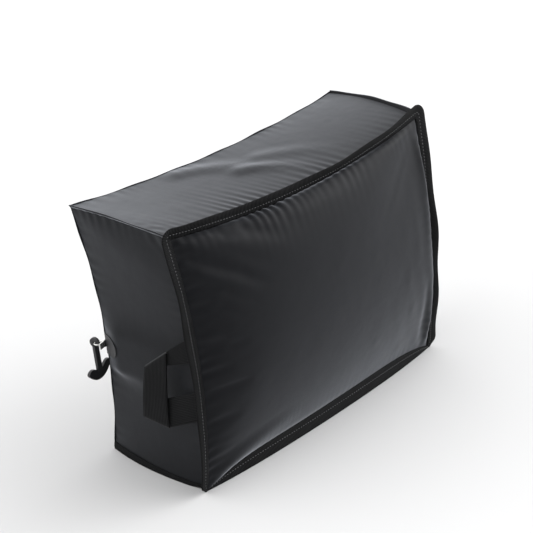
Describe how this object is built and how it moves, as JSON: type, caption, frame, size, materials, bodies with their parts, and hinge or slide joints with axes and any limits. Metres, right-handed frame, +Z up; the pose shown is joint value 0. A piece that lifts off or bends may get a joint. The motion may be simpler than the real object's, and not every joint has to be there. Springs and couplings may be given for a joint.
{
  "type": "film changing bag",
  "caption": "Puffed-up light-tight box bag for handling film in daylight, with tape-bound seams, a zipped back, webbing handles and elastic-cuffed sleeves turned inside.",
  "frame": {"origin": "on the ground under the middle of the bag, in the plane of its base", "axes": "+X along the bag's length towards its right end, -Y out of the broad front panel, +Z up"},
  "size_m": [0.4696, 0.2392, 0.3363],
  "materials": {
    "coated_cloth": "satin coated weave",
    "lining_cloth": "matt black lining",
    "binding_tape": "woven grosgrain tape",
    "zipper_tape": "woven tape",
    "zipper_teeth": "moulded",
    "soft_rubber": "soft moulded",
    "bright_metal": "nickel plated",
    "webbing": "ribbed webbing",
    "elastic_tape": "covered elastic"
  },
  "bodies": {
    "bag": {"front_panel": "coated_cloth", "top_panel": "coated_cloth", "bottom_panel": "coated_cloth", "left_end_panel": "coated_cloth", "right_end_panel": "coated_cloth", "back_panel_upper": "coated_cloth", "back_panel_lower": "coated_cloth", "lining_front": "lining_cloth", "lining_top": "lining_cloth", "lining_bottom": "lining_cloth", "lining_left": "lining_cloth", "lining_right": "lining_cloth", "lining_back_upper": "lining_cloth", "lining_back_lower": "lining_cloth", "front_binding_top": "binding_tape", "front_binding_bottom": "binding_tape", "front_binding_left": "binding_tape", "front_binding_right": "binding_tape", "base_binding_left": "binding_tape", "base_binding_right": "binding_tape", "base_binding_back": "binding_tape", "zipper_tape_lower": "zipper_tape", "zipper_tape_upper": "zipper_tape", "zipper_chain_lower": "zipper_teeth", "zipper_chain_upper": "zipper_teeth", "zipper_dock": "soft_rubber", "zipper_stop": "soft_rubber", "light_baffle": "lining_cloth", "left_port_ring": "elastic_tape", "right_port_ring": "elastic_tape", "left_sleeve": "lining_cloth", "right_sleeve": "lining_cloth", "left_cuff": "elastic_tape", "right_cuff": "elastic_tape"},
    "slider": {"zipper_slider": "bright_metal"},
    "ring": {"pull_ring": "bright_metal"},
    "pull": {"t_pull": "soft_rubber"},
    "handle_left": {"left_handle": "webbing"},
    "handle_right": {"right_handle": "webbing"}
  },
  "joints": [
    {"name": "zipper_travel", "type": "hinge", "parent": "bag", "child": "slider", "pos_m": [0, -0.59221, 0.14788], "axis": [0, 0, -1], "range_deg": [0, 33.17]},
    {"name": "ring_swing", "type": "hinge", "parent": "slider", "child": "ring", "pos_m": [-0.21098, 0.07751, 0.14788], "axis": [0, 0, 1], "range_deg": [-18, 18]},
    {"name": "pull_swing", "type": "hinge", "parent": "ring", "child": "pull", "pos_m": [-0.21379, 0.08643, 0.14788], "axis": [0.9538, 0.3005, 0], "range_deg": [-3, 80]},
    {"name": "left_handle_swing", "type": "hinge", "parent": "bag", "child": "handle_left", "pos_m": [-0.208, -0.09, 0.14], "axis": [0, 0, 1], "range_deg": [0, 68]},
    {"name": "right_handle_swing", "type": "hinge", "parent": "bag", "child": "handle_right", "pos_m": [0.208, -0.09, 0.14], "axis": [0, 0, -1], "range_deg": [0, 68]}
  ]
}
